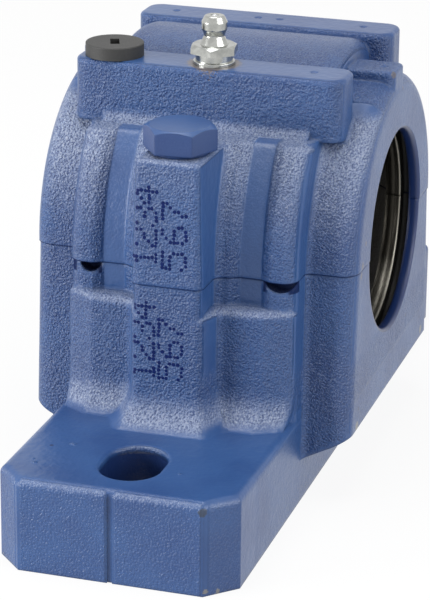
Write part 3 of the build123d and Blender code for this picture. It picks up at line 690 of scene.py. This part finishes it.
# %% Metals
def metal(name, dark, light, rough, cloud_size):
    """Metal whose tint and roughness wander over lumps of the given size."""
    skin = Finish(name)
    cloud = skin.noise(cloud_size, detail=3.0)
    fine = skin.noise(0.3 * mm)
    skin.feed("Base Color", mix(cloud, dark, light))
    skin.feed("Roughness", rough + (cloud - 0.5) * 0.12 + (fine - 0.5) * 0.06)
    skin.bump(fine, 0.01 * mm)
    skin.value("Metallic", 1.0)
    return skin


# dark and light tint, roughness, size of the lumps in millimetres, and the nodes
metals = {
    "bright_zinc": ((126, 128, 126), (204, 205, 200), 0.2, 2.5, ["nipple_body"]),
    "polished_steel": ((200, 201, 204), (224, 225, 228), 0.08, 4,
                       ["nipple_ball", "ball_row_front", "ball_row_rear"]),
    "spring_wire": ((150, 150, 152), (190, 190, 190), 0.3, 1, ["nipple_spring"]),
    "ground_steel": ((170, 171, 174), (205, 206, 208), 0.22, 12,
                     ["outer_ring", "inner_ring", "dowel_left", "dowel_right"]),
    "turned_brass": ((176, 138, 62), (214, 178, 98), 0.28, 9, ["cage"]),
    "turned_steel": ((120, 121, 124), (160, 160, 161), 0.34, 8,
                     ["locating_ring_front", "locating_ring_rear"]),
    "oiled_steel": ((78, 78, 80), (118, 116, 112), 0.3, 10,
                    ["adapter_sleeve", "tab_washer", "lock_nut"]),
}
metal_skins = {}
for name, (dark, light, rough, lumps, nodes) in metals.items():
    metal_skins[name] = metal(name, linear(*dark), linear(*light), rough, lumps * mm)
    metal_skins[name].paint(*nodes)
print("metals", ", ".join(metals))

# %% [markdown]
# ## Moulded plastic plug
#
# Dark grey plastic from a spark-eroded mould: even, dull, with a fine grain.  The same
# noise that makes the grain also makes it a little lighter where dust clings.

# %% Plastic
plastic_dark = linear(36, 36, 36)
plastic_pale = linear(50, 50, 49)
plastic_dust = linear(96, 96, 94)

plastic = Finish("moulded_plastic")
plastic_grain = plastic.noise(0.25 * mm, detail=3.0)
plastic_tint = mix(plastic.noise(4 * mm), plastic_dark, plastic_pale)
dusty = rise(plastic_grain, 0.6, 0.75) * 0.4
plastic.feed("Base Color", mix(dusty, plastic_tint, plastic_dust))
plastic.feed("Roughness", 0.48 + plastic_grain * 0.2)
plastic.bump(plastic_grain, 0.05 * mm)
plastic.value("IOR", 1.5)
plastic.paint("plug")
print("plastic laid on the plug")

# %% [markdown]
# ## The spring inside the nipple
#
# A grease gun pushes the ball 1 mm down, and the spring under it gets shorter.  A
# rigid node can't do that, so a coil of the same size is made here: a round wire swept
# along a helix, ring by ring.
# Every added piece starts as points and faces in a bmesh, so the step from there to a
# smooth object in the scene is a function that the later pieces use too.

# %% Valve spring
spring_low, spring_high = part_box("nipple_spring")
spring_middle = (Vector(spring_low) + Vector(spring_high)) / 2
spring_height = spring_high[2] - spring_low[2]
spring_turns = 5
steps_a_turn = 20
wire_sides = 10
wire_radius = 0.15 * mm
coil_radius = (spring_high[0] - spring_low[0]) / 2 - wire_radius
coil_rise = spring_height - 2 * wire_radius
upward = Vector((0, 0, 1))


def smooth_piece(name, shape, skin):
    """Turns a bmesh into an object in the scene, with smooth faces and one finish."""
    mesh = bpy.data.meshes.new(name)
    shape.to_mesh(mesh)
    shape.free()
    for polygon in mesh.polygons:
        polygon.use_smooth = True
    mesh.materials.append(skin.material)
    piece = bpy.data.objects.new(name, mesh)
    scene.collection.objects.link(piece)
    return piece


def coil():
    """A round wire along a helix that starts at the origin's height."""
    shape = bmesh.new()
    rings = []
    for step in range(spring_turns * steps_a_turn + 1):
        angle = math.tau * step / steps_a_turn
        out = Vector((math.cos(angle), math.sin(angle), 0))
        middle = out * coil_radius + upward * (coil_rise * step / (spring_turns * steps_a_turn))
        ring = []
        for corner in range(wire_sides):
            side = math.tau * corner / wire_sides
            reach = out * math.cos(side) + upward * math.sin(side)
            ring.append(shape.verts.new(middle + wire_radius * reach))
        rings.append(ring)
    for ring, after in zip(rings, rings[1:]):
        for corner in range(wire_sides):
            beside = (corner + 1) % wire_sides
            shape.faces.new((ring[corner], ring[beside], after[beside], after[corner]))
    shape.faces.new(rings[0][::-1])
    shape.faces.new(rings[-1])
    bmesh.ops.recalc_face_normals(shape, faces=shape.faces)
    return shape


valve_spring = smooth_piece("valve_spring", coil(), metal_skins["spring_wire"])
valve_spring.location = (spring_middle.x, spring_middle.y, spring_low[2] + wire_radius)
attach(valve_spring, "housing")
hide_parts("nipple_spring")
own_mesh(valve_spring)
print("spring", round(spring_height / mm, 2), "mm long")

# %% [markdown]
# ## Punched numbers
#
# Cap and base are bored together and must stay a pair, so both halves of such a
# housing carry the same punched numbers.  Here they are plain counting numbers, in
# dots, as a pin marker makes them.  The numbers read upwards, so each digit has its own
# height on the pillar, and a line of digits has one place across it.

# %% Dot numbers
dot_font = {
    "1": ("..#..", ".##..", "..#..", "..#..", "..#..", "..#..", ".###."),
    "2": (".###.", "#...#", "....#", "..##.", ".#...", "#....", "#####"),
    "3": (".###.", "#...#", "....#", "..##.", "....#", "#...#", ".###."),
    "4": ("...#.", "..##.", ".#.#.", "#..#.", "#####", "...#.", "...#."),
    "5": ("#####", "#....", "####.", "....#", "....#", "#...#", ".###."),
    "6": ("..##.", ".#...", "#....", "####.", "#...#", "#...#", ".###."),
    "7": ("#####", "....#", "...#.", "..#..", "..#..", ".#...", ".#..."),
}
dot_rows = 7
dot_columns = 5
digit_wide = 3.9 * mm
digit_tall = 5.9 * mm
hand_shake = 0.07 * mm
# the digits, the top of their line across the pillar and the height of each digit
number_lines = {
    "cap": (("1234", 8.4, (67.2, 72.2, 77.6, 83.0)), ("567", 0.9, (67.0, 73.6, 79.4))),
    "base": (("1234", 9.0, (37.6, 42.9, 48.2, 53.5)), ("567", 1.8, (38.2, 44.0, 49.4))),
}
dice = random.Random(5)


def dot_places(digits, top, heights):
    """Where each dot of a line of digits goes: y and z, reading upwards."""
    for digit, height in zip(digits, heights):
        for row, dots in enumerate(dot_font[digit]):
            for column, dot in enumerate(dots):
                if dot == "#":
                    y = top * mm - row * digit_tall / (dot_rows - 1)
                    z = height * mm + (column / (dot_columns - 1) - 0.5) * digit_wide
                    yield y + dice.gauss(0, hand_shake), z + dice.gauss(0, hand_shake)


print("digits", "".join(dot_font), "are", round(digit_tall / mm, 1), "mm tall")

# %% [markdown]
# ## Craters in the paint
#
# Each dot is a small crater: a ring of raised lip with a bottom darkened as painted
# shade over the paint in it.  It could be cut into the casting, but the castings keep
# their meshes, so it is a thin shape on the skin.  A ray cast at the pillar finds the
# skin's place and tilt, so that the dots follow its draft, and a dot that would miss the face
# is left out.

# %% Craters
dot_radius = 0.42 * mm
dot_sides = 8
# each ring's reach as a share of the dot's radius, and its lift off the skin
dot_rings = ((1.25, -0.02 * mm), (1.0, 0.05 * mm), (0.55, 0.03 * mm))
bottom_lift = 0.024 * mm
ray_start = -0.2
inward = Vector((1, 0, 0))
on_the_face = -0.7
dot_sizes = (0.85, 1.1)
# the paint in the dots, darkened as painted shade
shaded_pit_blue = linear(6, 18, 62)
shaded_pit_blue_pale = linear(14, 34, 92)

shaded_pit_paint = Finish("shaded_paint_in_pits")
pit_fine = shaded_pit_paint.noise(0.2 * mm)
shaded_pit_paint.feed("Base Color", mix(shaded_pit_paint.noise(1.2 * mm), shaded_pit_blue, shaded_pit_blue_pale))
shaded_pit_paint.feed("Roughness", 0.4 + pit_fine * 0.2)
shaded_pit_paint.bump(pit_fine, 0.05 * mm)
shaded_pit_paint.value("IOR", 1.2)


def crater(shape, middle, facing, radius):
    """Adds one dot: a low lip around a hollow, as three rings of points."""
    lean = facing.to_track_quat("Z", "Y").to_matrix()
    rings = []
    for reach, lift in dot_rings:
        ring = []
        for step in range(dot_sides):
            angle = math.tau * step / dot_sides
            x, y = reach * radius * math.cos(angle), reach * radius * math.sin(angle)
            ring.append(shape.verts.new(middle + lean @ Vector((x, y, lift))))
        rings.append(ring)
    bottom = shape.verts.new(middle + lean @ Vector((0, 0, bottom_lift)))
    for outer, inner in zip(rings, rings[1:]):
        for step in range(dot_sides):
            after = (step + 1) % dot_sides
            shape.faces.new((outer[step], outer[after], inner[after], inner[step]))
    for step in range(dot_sides):
        shape.faces.new((rings[-1][step], rings[-1][(step + 1) % dot_sides], bottom))


def punch(casting_name, lines):
    """Makes the punched numbers of one casting as one piece."""
    iron = frame["nodes"][casting_name]
    shape = bmesh.new()
    count = 0
    for digits, top, heights in lines:
        for y, z in dot_places(digits, top, heights):
            hit, spot, facing, _ = iron.ray_cast(Vector((ray_start, y, z)), inward)
            if hit and facing.x < on_the_face:
                crater(shape, spot, facing, dot_radius * dice.uniform(*dot_sizes))
                count += 1
    piece = smooth_piece(casting_name + "_numbers", shape, shaded_pit_paint)
    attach(piece, "housing")
    print(casting_name, "numbers:", count, "dots")


for casting_name, lines in number_lines.items():
    punch(casting_name, lines)

# %% [markdown]
# ## Casting pimples
#
# Gas in the mould leaves a few small pimples on the top of the foot.  They are low
# domes that rise out of the enamel and carry the same finish.  Their outermost ring of
# points is sunk a little into the foot, so that no gap shows under their rim.

# %% Pimples
# the place on the foot, the radius and the height, all in millimetres
pimples = [((-79.2, 17.5), 1.0, 0.5), ((-92.3, 22.5), 0.9, 0.42), ((-87.8, -12.4), 0.7, 0.32),
           ((-90.3, 23.6), 0.6, 0.25), ((78.0, -16.5), 0.8, 0.35), ((93.0, -21.0), 0.7, 0.3)]
dome_sides = 12
dome_rings = (0.3, 0.6, 0.85, 1.15)
rim_sink = 0.02 * mm
waviness = 0.12


def dome(shape, middle, radius, height):
    """Adds a low dome: rings of points that rise as a cosine."""
    x, y, z = middle
    top = shape.verts.new((x, y, z + height))
    last = None
    for share in dome_rings:
        lift = height * 0.5 * (1 + math.cos(math.pi * min(share, 1.0)))
        if share > 1:
            lift -= rim_sink
        ring = []
        for step in range(dome_sides):
            angle = math.tau * step / dome_sides
            reach = radius * share * (1 + waviness * math.sin(3 * angle + x / mm))
            ring.append(shape.verts.new((x + reach * math.cos(angle),
                                         y + reach * math.sin(angle), z + lift)))
        for step in range(dome_sides):
            after = (step + 1) % dome_sides
            if last is None:
                shape.faces.new((top, ring[step], ring[after]))
            else:
                shape.faces.new((last[step], ring[step], ring[after], last[after]))
        last = ring


specks = bmesh.new()
for (x, y), radius, height in pimples:
    dome(specks, (x * mm, y * mm, foot_top), radius * mm, height * mm)
foot_pimples = smooth_piece("foot_pimples", specks, base_skin)
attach(foot_pimples, "housing")
print("pimples", len(pimples))

# %% [markdown]
# ## Camera
#
# A long lens close to the left foot, looking down a little along the block.  The
# block sits low and left in the frame, so the lens is shifted, not the camera.  The
# three angles say how far the view turns from the long axis, dips and leans.

# %% Camera
camera_place = Vector((-624.3, -188.9, 276.2)) * mm
turn = math.radians(15.616)
dip = math.radians(18.044)
lean = math.radians(1.12)

ahead = Vector((math.cos(turn) * math.cos(dip), math.sin(turn) * math.cos(dip), -math.sin(dip)))
level = ahead.cross(upward).normalized()
above = level.cross(ahead)
right = level * math.cos(lean) + above * math.sin(lean)
up = above * math.cos(lean) - level * math.sin(lean)

lens = bpy.data.cameras.new("lens")
lens.sensor_fit = "AUTO"
lens.sensor_width = 36.0
lens.lens = 156.0
lens.shift_x = -0.1302
lens.shift_y = -0.1678
lens.clip_start = 0.01
lens.clip_end = 50.0
camera = bpy.data.objects.new("camera", lens)
camera.matrix_world = Matrix((
    (right.x, up.x, -ahead.x, camera_place.x),
    (right.y, up.y, -ahead.y, camera_place.y),
    (right.z, up.z, -ahead.z, camera_place.z),
    (0, 0, 0, 1),
))
scene.collection.objects.link(camera)
scene.camera = camera
print("camera at", plain(camera_place))

# %% [markdown]
# ## Floor and world
#
# The floor and the world look white to the camera and in reflections, and soft grey
# to everything else.  So the block stands on white and mirrors white where it is seen
# at a slant, without being washed out by it, and the floor keeps a faint shadow.

# %% Floor and world
white = (1, 1, 1, 1)
floor_grey = (0.82, 0.82, 0.82, 1)
sky_strength = 0.42
floor_reach = 4.0
floor_gap = 0.1 * mm


def white_to_camera(tree, seen, lit, camera_share=1.0):
    """Mixes a shader that the camera and gloss see with one that lights the object."""
    camera_ray = node(tree, "ShaderNodeLightPath", output="Is Camera Ray")
    glossy_ray = node(tree, "ShaderNodeLightPath", output="Is Glossy Ray")
    share = (camera_ray * camera_share).at_least(glossy_ray)
    return node(tree, "ShaderNodeMixShader", values={0: share, 1: lit, 2: seen})


floor_mesh = bpy.data.meshes.new("floor")
floor_corners = [(-floor_reach, -floor_reach, 0), (floor_reach, -floor_reach, 0),
                 (floor_reach, floor_reach, 0), (-floor_reach, floor_reach, 0)]
floor_mesh.from_pydata(floor_corners, [], [(0, 1, 2, 3)])
floor = bpy.data.objects.new("floor", floor_mesh)
floor.location.z = cad_low[2] - floor_gap
scene.collection.objects.link(floor)

pale = bpy.data.materials.new("pale_floor")
pale.use_nodes = True
pale.node_tree.nodes.clear()
pale_seen = node(pale.node_tree, "ShaderNodeEmission", values={"Color": white, "Strength": 1.0})
pale_lit = node(pale.node_tree, "ShaderNodeBsdfDiffuse", values={"Color": floor_grey})
pale_skin = white_to_camera(pale.node_tree, pale_seen, pale_lit, camera_share=0.9)
node(pale.node_tree, "ShaderNodeOutputMaterial", values={"Surface": pale_skin}, output=None)
floor_mesh.materials.append(pale)

world = bpy.data.worlds.new("studio")
scene.world = world
world.use_nodes = True
sky = world.node_tree
sky.nodes.clear()
sky_seen = node(sky, "ShaderNodeBackground", values={"Color": white, "Strength": 1.0})
sky_lit = node(sky, "ShaderNodeBackground", values={"Color": white, "Strength": sky_strength})
node(sky, "ShaderNodeOutputWorld", values={"Surface": white_to_camera(sky, sky_seen, sky_lit)},
     output=None)
print("floor at", round(floor.location.z / mm, 2), "mm")

# %% [markdown]
# ## Three soft lights
#
# One large box of light beside the block, one above it and one low behind its left
# end.  Large boxes give soft edges to the shade, and the low one grazes the pebbly
# skin, so that its grain shows.

# %% Lights
block_middle = (Vector(cad_low) + Vector(cad_high)) / 2
# the place, the width and height in metres, and the power in watts
softboxes = {
    "side_box": ((-0.25, -0.95, 0.55), 0.9, 0.7, 7.0),
    "top_box": ((-0.1, 0.1, 1.1), 0.7, 0.7, 7.0),
    "left_box": ((-0.7, 0.9, 0.25), 0.5, 0.5, 12.0),
}
for name, (place, width, height, power) in softboxes.items():
    light = bpy.data.lights.new(name, "AREA")
    light.shape = "RECTANGLE"
    light.size = width
    light.size_y = height
    light.energy = power
    box = bpy.data.objects.new(name, light)
    box.location = place
    box.rotation_euler = (block_middle - Vector(place)).to_track_quat("-Z", "Y").to_euler()
    box.visible_camera = False
    scene.collection.objects.link(box)
scene.view_settings.view_transform = "Standard"
print("lights", ", ".join(softboxes))
